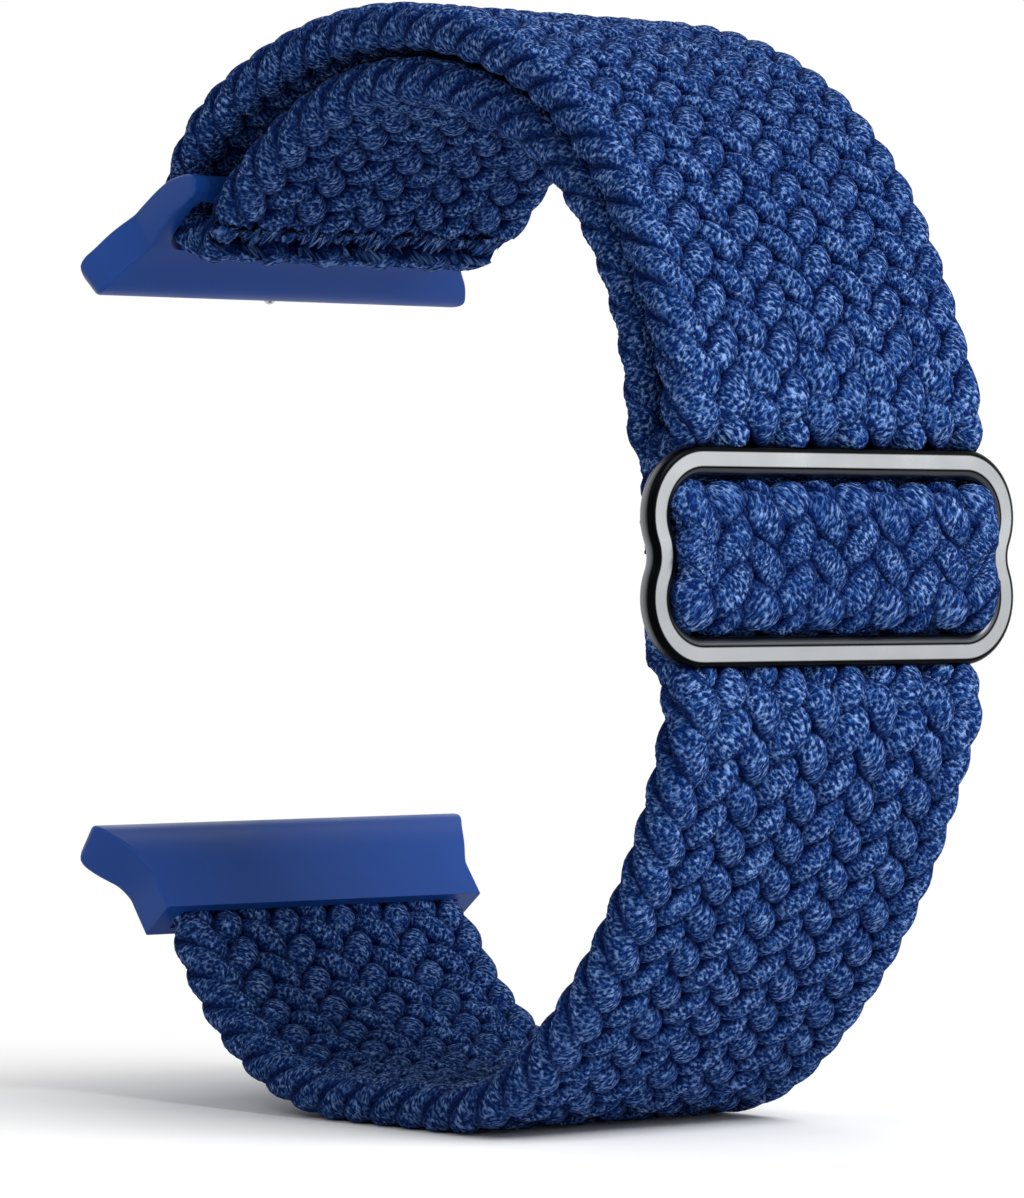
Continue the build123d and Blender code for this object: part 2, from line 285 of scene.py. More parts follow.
# places that follow, as in the part
bottom_back = (bottom_back_out, strap_thickness / 2)
corner_start = step(bottom_back, 0, bottom_length)
corner_centre = step(corner_start, 90, corner_radius)
slider_centre = step(corner_centre, corner_angle + 90, slider_arc_radius - corner_radius)
slider_arc_out, slider_arc_up = slider_centre
slider_front_out = slider_arc_out + slider_arc_radius + strap_thickness / 2 - slider_sink
slider_back_out = slider_front_out - slider_depth
bar_front_out = slider_back_out + centre_bar_depth
under_out = slider_back_out - braid_clear - crown_thickness / 2
under_height = slider_height / 2 + slider_clear + seam_gap
slider_half_width = strap_width / 2 + slider_clear + slider_rim + waist_depth
leg_height = slider_height / 2 - slider_rim - braid_clear - crown_thickness / 2
crown_out = bar_front_out + tape_thickness + 2 * tape_gap + crown_thickness / 2 - crown_sink

# the frame's Y of a place with no out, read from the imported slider
row_shift = slider_front_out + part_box("slider_frame")[0][1] / MM


def dip_arcs():
    """Where the braid leaves the slider arc, as an angle from its front, and the two arcs behind it."""
    turn = radians(dip_turn_angle)
    low = under_height + dip_taper
    large = slider_arc_radius * dip_radius_share
    reach = under_out - slider_arc_out - large * cos(turn) - tan(turn / 2) * (low + large * sin(turn))
    side = acos(cos(turn / 2) * reach / (slider_arc_radius - large)) - turn / 2
    rise = slider_arc_radius * sin(side) - low
    small = (rise - large * (sin(side) + sin(turn))) / sin(turn)
    return degrees(side), large, small


def start_of_route():
    """Where the braid leaves the lower connector, found by walking back from the flat bottom."""
    centre = step(bottom_back, 90, lower_bend_radius)
    bend_start = step(centre, -90 - lower_bend_angle, lower_bend_radius)
    heading = -lower_bend_angle
    return step(bend_start, heading + 180, lower_lead), heading


def lay_slider_stretch(route):
    """Behind the lower bar, over the centre bar and behind the upper bar."""
    behind = slider_height / 2 + slider_clear - leg_height - dive_radius
    climb = crown_out - under_out - dive_radius - crown_radius
    route.run(behind)
    route.bend(dive_radius, -90)
    route.mark("leg_start")
    route.run(climb)
    route.bend(crown_radius, 90)
    route.mark("crown_middle", leg_height - crown_radius)
    route.run(2 * (leg_height - crown_radius))
    route.bend(crown_radius, 90)
    route.run(climb)
    route.mark("leg_end")
    route.bend(dive_radius, -90)
    route.run(behind)


def braid_route():
    """The whole braid, from its end in the lower connector to its sewn end on the slider."""
    side, large, small = dip_arcs()
    point, heading = start_of_route()
    route = Route(step(point, heading + 180, moulded_depth + joint_gap), heading)
    route.mark("moulded_end")
    route.run(moulded_depth + joint_gap)
    route.mark("exit")
    route.run(lower_lead)
    route.bend(lower_bend_radius, lower_bend_angle)
    route.mark("bottom_back")
    route.run(bottom_length)
    route.bend(corner_radius, corner_angle)
    route.mark("corner_end")
    route.bend(slider_arc_radius, 90 - side - route.heading)
    route.bend(large, side + dip_turn_angle)
    route.bend(small, -dip_turn_angle)
    route.mark("taper_in")
    route.run(dip_taper)
    route.mark("crown_start", seam_gap / 2)
    route.run(seam_gap)
    lay_slider_stretch(route)
    route.mark("crown_end", seam_gap / 2)
    route.run(seam_gap + dip_taper)
    route.mark("taper_out")
    route.bend(small, -dip_turn_angle)
    route.bend(large, side + dip_turn_angle)
    route.bend(slider_arc_radius, slider_arc_end_angle - route.heading)
    route.mark("front_end")
    route.bend(front_arc_radius, front_arc_end_angle - slider_arc_end_angle)
    top_centre = step(route.point, route.heading + 90, top_arc_radius)
    route.bend(top_arc_radius, top_arc_end_angle - front_arc_end_angle)
    route.mark("top_end")
    lay_fold(route)
    route.mark("fold_end")
    lay_inner_layer(route, top_centre)
    return route


def fold_middle(top_end, heading):
    """The point that the braid folds round, from where its top arc ends."""
    return step(step(top_end, heading, fold_ahead), heading + 90, fold_aside)


def lay_fold(route):
    """Round the upper connector's bar."""
    fold_centre = fold_middle(route.point, route.heading)
    hook = joining_radius(route.point, route.heading + 90, fold_centre, fold_radius)
    hook_centre = step(route.point, route.heading + 90, hook)
    route.bend(hook, heading_to(hook_centre, fold_centre) + 90 - route.heading)
    route.bend(fold_radius, fold_end_angle + 360 - route.heading)
    route.heading = fold_end_angle
    route.run(fold_lead)


def lay_inner_layer(route, top_centre):
    """Back under the outer layer and down to the sewn tab's root behind the slider."""
    inner_top_radius = top_arc_radius - strap_thickness - layer_gap
    meet = joining_radius(route.point, route.heading - 90, top_centre, inner_top_radius)
    meet_centre = step(route.point, route.heading - 90, meet)
    contact = heading_to(top_centre, meet_centre) - 90
    route.bend(meet, contact - route.heading)
    route.bend(inner_top_radius, front_arc_end_angle - 180 - contact)
    route.mark("inner_top_end")
    route.bend(front_arc_radius - inner_front_step, -90 - route.heading)
    route.run(route.point[1] - slider_arc_up - inner_end_height)
    route.mark("tail_end", seam_gap / 2)
    route.run(inner_end_height - tab_bend_radius - tab_rise)
    route.mark("tab_start")
    route.run(tab_rise)
    route.bend(tab_bend_radius, 90)
    loop_half_depth = centre_bar_depth / 2 + tape_gap + tape_thickness
    loop_back_out = slider_back_out + centre_bar_depth / 2 - loop_half_depth
    route.run(loop_back_out + tape_thickness / 2 - route.point[0])
    route.mark("tab_end")


def tape_route():
    """The flattened end once round the slider's centre bar."""
    half_depth = centre_bar_depth / 2 + tape_gap + tape_thickness / 2
    half_height = centre_bar_height / 2 + tape_gap + tape_thickness / 2 + tape_slack
    corner = tape_gap + tape_thickness
    centre = slider_back_out + centre_bar_depth / 2
    route = Route((centre - half_depth, slider_arc_up), -90)
    route.mark("start")
    route.run(half_height - corner)
    for side in (2 * (half_depth - corner), 2 * (half_height - corner), 2 * (half_depth - corner)):
        route.bend(corner, 90)
        route.run(side)
    route.bend(corner, 90)
    route.run(half_height - corner)
    route.mark("end")
    return route


def mapped(distance, stops):
    """A value along the braid that eases between stops, each a distance and the value there."""
    places, values = zip(*stops)
    return np.interp(distance, places, values)


def braid_width(route, distance):
    """Width of the braid: a little narrower in the fold, the slider and the sewn end."""
    at = route.marks
    narrow_fold = strap_width - fold_narrowing
    narrow_end = strap_width - tape_narrowing
    waist_width = strap_width + 2 * slider_clear - 2 * crown_gap
    window_width = waist_width + 2 * waist_depth
    ease = float_pitch
    return mapped(
        distance,
        [
            (at["exit"] - ease, narrow_end),
            (at["exit"] + ease, strap_width),
            (at["crown_start"], strap_width),
            (at["leg_start"], window_width),
            (at["crown_middle"], waist_width),
            (at["leg_end"], window_width),
            (at["crown_end"], strap_width),
            (at["top_end"] - ease, strap_width),
            (at["top_end"] + ease, narrow_fold),
            (at["fold_end"] - 2 * ease, narrow_fold),
            (at["fold_end"] - ease, strap_width + fold_spread),
            (at["fold_end"] + 2 * ease, strap_width),
            (at["tail_end"] - ease, strap_width - tail_narrowing / 3),
            (at["tail_end"], strap_width - tail_narrowing),
        ],
    )


def braid_height(route, distance):
    """Thickness of the braid: squeezed behind the slider's bars and at both ends."""
    at = route.marks
    flat_half = leg_height - crown_radius
    return mapped(
        distance,
        [
            (at["exit"] - joint_gap, moulded_thickness),
            (at["exit"] + float_pitch / 2, strap_thickness),
            (at["taper_in"], strap_thickness),
            (at["crown_start"], crown_thickness),
            (at["leg_start"], leg_fullness * crown_thickness),
            (at["crown_middle"] - flat_half, crown_squeeze * crown_thickness),
            (at["crown_middle"] + flat_half, crown_squeeze * crown_thickness),
            (at["leg_end"], leg_fullness * crown_thickness),
            (at["crown_end"], crown_thickness),
            (at["taper_out"], strap_thickness),
            (at["inner_top_end"], strap_thickness),
            (at["tail_end"], tail_thickness),
            (at["tab_start"], tab_thickness),
        ],
    )


def braid_shift(route, distance):
    """How far the braid lies off its middle line: the inner tail rests against the outer layer."""
    at = route.marks
    ease = float_pitch
    return mapped(
        distance,
        [
            (at["inner_top_end"], 0.0),
            (at["tail_end"] - ease, -tail_forward / 2),
            (at["tail_end"], -tail_forward),
            (at["tab_start"], -tail_forward),
            (at["tab_end"], 0.0),
        ],
    )


def slider_swell(route, distance):
    """How far the outer face swells up beside the slider's bars."""
    below = route.marks["crown_start"] - distance
    above = distance - route.marks["crown_end"]
    beside = np.maximum(below, above)
    bump = np.exp(-(((beside - swell_place) / swell_length) ** 2))
    return swell_height * bump * smooth((beside + under_edge) / swell_start)


def smooth(share):
    share = np.clip(share, 0, 1)
    return share * share * (3 - 2 * share)


def rounded(distance):
    """A distance from a turn, with the turn's point rounded off."""
    near = (distance**2 + edge_turn_length**2) / (2 * edge_turn_length)
    return np.where(distance < edge_turn_length, near, distance)


def cord_place(distance, index, width, height, swell, shift):
    """Where a cord's middle lies across and through the braid, and how it faces and crosses."""
    period = cord_count * float_pitch
    half = period / 2
    from_left = (((distance - weave_shift) / period + index / cord_count + 0.5) % 1 - 0.5) * period
    away = np.abs(from_left)
    flat = height / strap_thickness
    reach = width / 2 - cord_half_height * flat
    slope = reach / (half / 2 - edge_turn_length / 2)
    side = np.where(away < half / 2, -1, 1)
    from_edge = rounded(np.minimum(away, half - away)) - edge_turn_length / 2
    across = side * (reach - slope * from_edge)
    going = np.tanh(from_left / wrap_length) * np.tanh((half - away) / wrap_length)
    # cords cross between columns of floats, and the outermost float runs on round the edge
    column = np.clip((column_count + 0.5) * away / half - 0.25, 0.5, column_count - 0.5)
    over = np.tanh(float_squareness * np.sin(pi * column)) / np.tanh(float_squareness)
    rise = -going * over
    lift = rise * cord_lift * flat + shift + swell * (swell_share + (1 - swell_share) * rise)
    return across, lift, going, np.abs(over), flat


def length_along(path):
    """How far along a path each of its points lies."""
    steps = np.linalg.norm(np.diff(path, axis=0), axis=1)
    return np.concatenate([[0], np.cumsum(steps)])


def cord_rings(route, distances, index, profile):
    """Rings of points round one cord, in metres, with each point's depth in the braid, raised at the
    braid's edges and lowered in its grooves, as a share of painted light.
    """
    width, height, swell, shift = profile(distances)
    across, lift, going, over, flat = cord_place(distances, index, width, height, swell, shift)
    middle = np.stack([across, distances, lift], axis=1)
    after = distances + cord_nudge
    across, lift = cord_place(after, index, *profile(after))[:2]
    tangent = np.stack([across, after, lift], axis=1) - middle
    tangent /= np.linalg.norm(tangent, axis=1, keepdims=True)
    tilt = going * pi / 2
    facing = np.stack([-np.cos(tilt), np.zeros_like(tilt), -np.sin(tilt)], axis=1)
    facing -= tangent * np.sum(facing * tangent, axis=1, keepdims=True)
    facing /= np.linalg.norm(facing, axis=1, keepdims=True)
    beside = np.cross(tangent, facing)
    plump = least_plump + plump_gain * over
    bend = np.abs(route.at(distances + bend_reach)[2] - route.at(distances - bend_reach)[2])
    spread = 1 + (bend_spread * np.clip(bend, 0, 1) + swell_spread * swell) * np.abs(going)
    half_width = (cord_half_width * plump * spread)[:, None, None]
    half_height = (cord_half_height * flat * (1 + plump) / 2)[:, None, None]
    turn = np.linspace(0, 2 * pi, ring_sides, endpoint=False)[None, :, None]
    ring = middle[:, None, :] + half_width * np.cos(turn) * beside[:, None, :]
    ring = ring + half_height * np.sin(turn) * facing[:, None, :]
    place = ring[..., 1].ravel()
    out, up, heading = route.at(place)
    heading = (heading + route.at(place - turn_reach)[2] + route.at(place + turn_reach)[2]) / 3
    rise = ring[..., 2].ravel()
    out = out + rise * np.sin(heading)
    up = up - rise * np.cos(heading)
    points = np.stack([ring[..., 0].ravel(), row_shift - out, up], axis=1) * MM
    # each point's share of painted light: high where it stands out of the braid's middle or near its
    # edges, lowered at each cord's sides, in the grooves between cords
    rise = (ring[..., 2] - (shift + swell_share * swell)[:, None]) / (height[:, None] / 2)
    aside = (np.abs(ring[..., 0]) - width[:, None] / 2 + painted_edge_light) / painted_edge_light
    groove = smooth(np.abs(np.sin(turn[:, :, 0])) / groove_width)
    lit = groove_light + (1 - groove_light) * groove
    depth = np.maximum(np.abs(rise), np.clip(aside, 0, 1)) * lit
    return points.reshape(len(distances), ring_sides, 3), length_along(middle), depth


def cord_along(start, index, profile):
    """Length of a cord from the route's start, so that its yarn runs on from piece to piece."""
    distances = np.arange(0, start + ring_spacing, ring_spacing)
    across, lift = cord_place(distances, index, *profile(distances))[:2]
    return np.interp(start, distances, length_along(np.stack([across, distances, lift], axis=1)))


def in_columns(*columns):
    """Columns of numbers as one array of points, directions or pairs."""
    return np.stack(np.broadcast_arrays(*columns), axis=-1)


def put_in_scene(name, data):
    made = bpy.data.objects.new(name, data)
    bpy.context.scene.collection.objects.link(made)
    return made


def ring_normals(rings):
    """Outward normals from the neighbouring rings, so that pieces meet without a seam in the light."""
    round_it = np.roll(rings, -1, axis=1) - np.roll(rings, 1, axis=1)
    along_it = rings[2:] - rings[:-2]
    normals = np.cross(round_it[1:-1], along_it)
    return normals / np.maximum(np.linalg.norm(normals, axis=2, keepdims=True), 1e-12)


class Weave:
    """Points, faces, yarn coordinates and normals of a stretch of braid, gathered cord by cord."""

    def __init__(self):
        self.points = []
        self.normals = []
        self.quads = []
        self.caps = []
        self.yarn = []
        self.depth = []
        self.count = 0

    def add(self, route, start, end, profile):
        rings_wanted = max(3, int(round((end - start) / ring_spacing)) + 1)
        inside = np.linspace(start, end, rings_wanted)
        gap = inside[1] - inside[0]
        distances = np.concatenate([[start - gap], inside, [end + gap]])
        for index in range(cord_count):
            rings, along, depth = cord_rings(route, distances, index, profile)
            along = along - along[1] + cord_along(start, index, profile)
            self.add_cord(rings, along[1:-1], depth[1:-1], index)

    def add_cord(self, rings, along, depth, index):
        count = len(along)
        self.normals.append(ring_normals(rings).reshape(-1, 3))
        self.points.append(rings[1:-1].reshape(-1, 3))
        self.depth.append(depth.reshape(-1))
        grid = np.arange(count * ring_sides).reshape(count, ring_sides) + self.count
        next_side = np.roll(grid, -1, axis=1)
        quads = np.stack([grid[:-1], next_side[:-1], next_side[1:], grid[1:]], axis=-1)
        self.quads.append(quads.reshape(-1, 4))
        self.caps.extend([grid[0][::-1], grid[-1]])
        side = np.arange(ring_sides)[None, :] / ring_sides
        side_after = side + 1 / ring_sides
        shift = index * cord_circumference * yarn_turns_apart
        low, high = (along[:-1] + shift)[:, None], (along[1:] + shift)[:, None]
        corners = ((low, side), (low, side_after), (high, side_after), (high, side))
        yarn = np.stack([in_columns(*corner) for corner in corners], axis=2)
        self.yarn.append(yarn.reshape(-1, 2))
        self.count += count * ring_sides

    def build(self, name):
        """The mesh object."""
        points = np.concatenate(self.points)
        quads = np.concatenate(self.quads)
        caps = np.array(self.caps)
        corners = np.concatenate([quads.ravel(), caps.ravel()])
        starts = np.concatenate(
            [np.arange(len(quads)) * 4, len(quads) * 4 + np.arange(len(caps)) * ring_sides]
        )
        mesh = bpy.data.meshes.new(name)
        mesh.vertices.add(len(points))
        mesh.vertices.foreach_set("co", points.astype(np.float32).ravel())
        mesh.loops.add(len(corners))
        mesh.loops.foreach_set("vertex_index", corners.astype(np.int32))
        mesh.polygons.add(len(starts))
        mesh.polygons.foreach_set("loop_start", starts.astype(np.int32))
        mesh.update(calc_edges=True)
        yarn = np.concatenate(self.yarn + [np.zeros((caps.size, 2))])
        mesh.uv_layers.new(name="yarn").data.foreach_set("uv", yarn.astype(np.float32).ravel())
        # each point's share of painted light, which the braid's shader turns into painted shade and
        # painted highlights
        depth = mesh.attributes.new("depth", "FLOAT", "POINT")
        depth.data.foreach_set("value", np.concatenate(self.depth).astype(np.float32))
        mesh.polygons.foreach_set("use_smooth", np.ones(len(starts), bool))
        mesh.normals_split_custom_set_from_vertices(np.concatenate(self.normals).astype(np.float32))
        mesh.validate()
        return put_in_scene(name, mesh)


class Shell:
    """Points and faces of a solid piece, gathered from rings that are capped or joined end to end."""

    def __init__(self):
        self.points = []
        self.normals = []
        self.faces = []
        self.count = 0

    def add(self, rings, normals=None, closed=False):
        count, sides = rings.shape[:2]
        grid = np.arange(count * sides).reshape(count, sides) + self.count
        following = np.roll(grid, -1, axis=0)
        quads = np.stack(
            [grid, np.roll(grid, -1, axis=1), np.roll(following, -1, axis=1), following], axis=-1
        )
        self.faces += quads[: count if closed else count - 1].reshape(-1, 4).tolist()
        if not closed:
            self.faces += [grid[0][::-1].tolist(), grid[-1].tolist()]
        self.points.append(rings.reshape(-1, 3))
        if normals is not None:
            self.normals.append(normals.reshape(-1, 3))
        self.count += count * sides

    def build(self, name):
        """The mesh object, smooth, with the given normals where there are any."""
        mesh = bpy.data.meshes.new(name)
        mesh.from_pydata(np.concatenate(self.points).tolist(), [], self.faces)
        shape = bmesh.new()
        shape.from_mesh(mesh)
        bmesh.ops.recalc_face_normals(shape, faces=shape.faces)
        shape.to_mesh(mesh)
        shape.free()
        mesh.polygons.foreach_set("use_smooth", np.ones(len(mesh.polygons), bool))
        if self.normals:
            mesh.normals_split_custom_set_from_vertices(np.concatenate(self.normals))
        return put_in_scene(name, mesh)


def rounded_box(low, high, radii, steps=5):
    """Outline of a rectangle with a radius for each corner, from the low one round, and its normals."""
    corners = [(low[0], low[1]), (high[0], low[1]), (high[0], high[1]), (low[0], high[1])]
    inward = [(1, 1), (-1, 1), (-1, -1), (1, -1)]
    points, normals = [], []
    for quarter, (corner, into, radius) in enumerate(zip(corners, inward, radii)):
        turn = np.radians(180 + 90 * quarter + np.linspace(0, 90, steps + 1))
        facing = np.stack([np.cos(turn), np.sin(turn)], axis=1)
        points.append(np.array(corner) + np.array(into) * radius + radius * facing)
        normals.append(facing)
    return np.concatenate(points), np.concatenate(normals)


def in_frame(side, out, up):
    """Points of the frame, in metres, from places in the part's own millimetres."""
    return in_columns(side, row_shift - out, up) * MM


def solid_through(name, rings):
    """One closed solid through rings of points."""
    shell = Shell()
    shell.add(np.asarray(rings))
    return shell.build(name)


def circle(radius):
    """A circle's points, as two columns."""
    turn = np.linspace(0, 2 * pi, round_sides, endpoint=False)
    return radius * np.cos(turn), radius * np.sin(turn)


def settle(piece):
    """Fixes a piece's modifiers into its mesh."""
    graph = bpy.context.evaluated_depsgraph_get()
    mesh = bpy.data.meshes.new_from_object(piece.evaluated_get(graph))
    piece.modifiers.clear()
    piece.data = mesh


def combine(piece, other, operation):
    """Cuts another closed mesh out of a piece, or joins it to the piece."""
    step_made = piece.modifiers.new("other", "BOOLEAN")
    step_made.object = other
    step_made.operation = operation
    step_made.solver = "EXACT"
    settle(piece)
    bpy.data.objects.remove(other)


def soften_edges(piece, width):
    """Rounds the edges that cuts left sharp, as a mould does."""
    bevel = piece.modifiers.new("moulded edge", "BEVEL")
    bevel.width = width * MM
    bevel.segments = 3
    bevel.limit_method = "ANGLE"
    bevel.angle_limit = radians(45)
    bevel.use_clamp_overlap = True
    settle(piece)
    piece.data.polygons.foreach_set("use_smooth", np.ones(len(piece.data.polygons), bool))
    level = piece.modifiers.new("even shading", "WEIGHTED_NORMAL")
    level.weight = 60
    settle(piece)


def slider_route():
    """Middle line of the slider's rim seen from the front: round corners and a hollow in each side."""
    corner_up = slider_height / 2 - slider_corner
    reach = (waist_depth**2 + corner_up**2) / (2 * waist_depth)
    lean = degrees(atan2(corner_up, reach - waist_depth))
    rim = Route((0, slider_height / 2 - slider_rim / 2), 0)
    for _ in range(2):
        rim.run(slider_half_width - slider_corner)
        rim.bend(slider_corner - slider_rim / 2, -90 - lean)
        rim.bend(reach - slider_corner + slider_rim / 2, 2 * lean)
        rim.bend(slider_corner - slider_rim / 2, -90 - lean)
        rim.run(slider_half_width - slider_corner)
    return rim


def slider_piece():
    """The slider's frame, with its face between two rounded edges, and its centre bar; each point keeps
    its place across the rim for the shader's painted reflections.
    """
    rim = slider_route()
    places = rim.at(np.linspace(0, rim.length, slider_sections, endpoint=False))
    side, height, heading = (column[:, None] for column in places)
    away, rise = -np.sin(heading), np.cos(heading)
    radii = (back_rounding, back_rounding, face_outer_rounding, face_inner_rounding)
    section, facing = rounded_box((-slider_rim / 2, 0), (slider_rim / 2, slider_depth), radii)
    across, depth = section.T
    shell = Shell()
    up = slider_arc_up + height + across * rise
    rings = in_frame(side + across * away, slider_back_out + depth, up)
    normals = in_columns(facing[:, 0] * away, -facing[:, 1], facing[:, 0] * rise)
    shell.add(rings, normals, closed=True)
    painted_reflection_across = np.tile(across, slider_sections)

    low = (slider_back_out, slider_arc_up - centre_bar_height / 2)
    high = (low[0] + centre_bar_depth, low[1] + centre_bar_height)
    section, facing = rounded_box(low, high, [centre_bar_rounding] * 4)
    half = slider_half_width - waist_depth - slider_rim + centre_bar_root
    ends = np.array([[-half], [half]])
    normals = in_columns(np.zeros_like(ends), -facing[:, 0], facing[:, 1])
    shell.add(in_frame(ends, section[:, 0], section[:, 1]), normals)

    piece = shell.build("slider_body")
    painted_reflection_across = np.append(painted_reflection_across, np.full(2 * len(section), -slider_rim / 2))
    # each point's place across the rim, where the slider's shader paints reflection bands
    place_across = piece.data.attributes.new("across", "FLOAT", "POINT")
    place_across.data.foreach_set("value", painted_reflection_across.astype(np.float32))
    dress(piece, plating)
    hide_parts("slider_frame")
    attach(piece, "slider")


def smooth_spine(stops):
    """Even steps along a curve through stops of (out, up, half thickness)."""
    stops = [np.array(stop) for stop in stops]
    row = [2 * stops[0] - stops[1], *stops, 2 * stops[-1] - stops[-2]]
    share = np.linspace(0, 1, spine_steps, endpoint=False)[:, None]
    spans = []
    for before, start, end, after in zip(row, row[1:], row[2:], row[3:]):
        bend = (2 * before - 5 * start + 4 * end - after) * share**2
        bend = bend + (3 * start - before - 3 * end + after) * share**3
        spans.append(start + 0.5 * ((end - before) * share + bend))
    path = np.concatenate([*spans, stops[-1][None, :]])
    length = length_along(path[:, :2])
    even = np.linspace(0, length[-1], int(length[-1] / section_spacing) + 1)
    return np.stack([np.interp(even, length, column) for column in path.T], axis=1), even


def rounded_end(path, distance, sign):
    """Sections that round off a path's end: sign is 1 past its last point and -1 before its first."""
    last, beside = path[::-sign][:2]
    onward = (last[:2] - beside[:2]) / np.linalg.norm(last[:2] - beside[:2])
    turn = np.radians(np.linspace(end_first_angle, end_last_angle, end_sections))[::sign]
    reach = last[2] * np.sin(turn)
    spots = last[:2] + reach[:, None] * onward
    thick = last[2] * np.cos(turn)
    return np.column_stack([spots, thick]), distance[::-sign][0] + sign * reach


def plan_half_width(along):
    """Half a connector's width behind the insert's tip: a rounded corner, then nearly straight in."""
    narrow = (strap_width - fold_narrowing) / 2 + slot_clear + arm_width
    wide = insert_width / 2
    straight = np.clip((along + insert_radius - flare_start) / flare_length, 0, 1)
    share = flare_straightness * straight + (1 - flare_straightness) * smooth(straight)
    near = np.clip((along + insert_radius) / insert_corner, 0, 1)
    corner = insert_corner * (1 - np.sqrt(1 - (1 - near) ** 2))
    return wide + (narrow - wide) * share - corner


def connector_shell(name, path, distance, tip_distance):
    """A moulded connector as sections across its curved profile."""
    heading = np.arctan2(np.gradient(path[:, 1]), np.gradient(path[:, 0]))
    rings = []
    for (out, up, thick), turn, place in zip(path, heading, distance):
        wide = plan_half_width(np.array(tip_distance - place))
        edge = min(moulded_edge, moulded_edge_share * thick)
        section = rounded_box((-wide, -thick), (wide, thick), [edge] * 4, steps=4)[0]
        across, rise = section.T
        rings.append(in_frame(across, out - rise * sin(turn), up + rise * cos(turn)))
    return solid_through(name, rings)


def prism(outline, centre, heading, thick):
    """A closed block: an outline of (side, along a heading), as thick as given across the heading."""
    along = ahead(heading)
    across = ahead(heading + 90)
    side, distance = outline.T
    rings = []
    for offset in (-thick / 2, thick / 2):
        out = centre[0] + distance * along[0] + offset * across[0]
        up = centre[1] + distance * along[1] + offset * across[1]
        rings.append(in_frame(side, out, up))
    return solid_through("cutter", rings)


def rod_across(centre, radius, half):
    """A round bar along X."""
    out, up = circle(radius)
    ends = np.array([[-half], [half]])
    return solid_through("bar", in_frame(ends, centre[0] + out, centre[1] + up))


def sleeve_pocket(tip, inward):
    """The round hole that the catch's sleeve sits in."""
    mouth = step(tip, inward + 180, insert_radius + sleeve_recess)
    depth = np.array([0, sleeve_length + 2 * sleeve_recess])[:, None]
    along, across = ahead(inward), ahead(inward + 90)
    side, rise = circle(sleeve_radius)
    out = mouth[0] + depth * along[0] + rise * across[0]
    up = mouth[1] + depth * along[1] + rise * across[1]
    return solid_through("cutter", in_frame(side, out, up))


def finish_connector(piece, side, tip, shoulder, rounding):
    """Cuts the catch's pocket, rounds the edges and sets the piece on its body."""
    combine(piece, sleeve_pocket(tip, heading_to(tip, shoulder)), "DIFFERENCE")
    soften_edges(piece, rounding)
    dress(piece, plastic)
    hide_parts(f"{side}_connector")
    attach(piece, f"{side}_connector_body")


def lower_connector_piece():
    """The slab that the braid's end is moulded into, with the insert at its top."""
    start, heading = start_of_route()
    exit_heading = heading + 180
    exit_place = step(start, exit_heading, joint_gap)
    shoulder = step(exit_place, exit_heading, lower_slab_length)
    tip = step(shoulder, exit_heading + lower_tip_angle, lower_tip_length)
    half = lower_slab_thickness / 2
    middle = step(exit_place, exit_heading, lower_slab_length / 2)
    stops = [(*exit_place, half), (*middle, half), (*shoulder, half), (*tip, insert_radius)]
    path, distance = smooth_spine(stops)
    cap, cap_distance = rounded_end(path, distance, 1)
    piece = connector_shell(
        "lower_connector_body",
        np.concatenate([path, cap]),
        np.concatenate([distance, cap_distance]),
        distance[-1],
    )
    wide = (strap_width - moulded_narrowing) / 2
    edge = moulded_thickness / 2
    outline = rounded_box((-wide, -edge), (wide, moulded_depth), [edge / 4] * 4)[0]
    combine(piece, prism(outline, exit_place, exit_heading, moulded_thickness), "DIFFERENCE")
    finish_connector(piece, "lower", tip, shoulder, lower_edge_rounding)


def upper_connector_piece():
    """The curved slab with a slot for the braid and a round bar across the slot's end."""
    out, up, _ = route.at(np.array([at["top_end"]]))
    top_end = (float(out[0]), float(up[0]))
    fold_centre = fold_middle(top_end, top_arc_end_angle)
    bar_centre = step(fold_centre, top_arc_end_angle + 180, bar_setback)
    arm_tip = step(bar_centre, arm_tip_angle, arm_tip_length)
    elbow = step(bar_centre, arm_angle, arm_length)
    shoulder = step(elbow, shoulder_angle, shoulder_length)
    tip = step(shoulder, upper_tip_angle, upper_tip_length)
    spots = (arm_tip, bar_centre, elbow, shoulder, tip)
    radii = (arm_tip_radius, bar_radius, arm_radius, shoulder_radius, insert_radius)
    stops = [(*spot, radius) for spot, radius in zip(spots, radii)]
    path, distance = smooth_spine(stops)
    start, start_distance = rounded_end(path, distance, -1)
    cap, cap_distance = rounded_end(path, distance, 1)
    piece = connector_shell(
        "upper_connector_body",
        np.concatenate([start, path, cap]),
        np.concatenate([start_distance, distance, cap_distance]),
        distance[-1],
    )
    half = (strap_width - fold_narrowing) / 2 + slot_clear
    reach = arm_tip_length + 2 * arm_radius
    corners = [slot_mouth_corner, slot_mouth_corner, slot_corner, slot_corner]
    outline = rounded_box((-half, -reach), (half, slot_length), corners, steps=6)[0]
    slot = prism(outline, bar_centre, heading_to(bar_centre, tip), 4 * insert_radius)
    combine(piece, slot, "DIFFERENCE")
    combine(piece, rod_across(bar_centre, bar_shrink * bar_radius, half + bar_tuck), "UNION")
    finish_connector(piece, "upper", tip, shoulder, upper_edge_rounding)


route = braid_route()
at = route.marks


def loop_profile(distance):
    sizes = braid_width(route, distance), braid_height(route, distance)
    return *sizes, slider_swell(route, distance), braid_shift(route, distance)


def tape_profile(distance):
    wide = np.full_like(distance, strap_width - tape_narrowing + tape_widening)
    none = np.zeros_like(distance)
    return wide, np.full_like(distance, tape_fullness), none, none


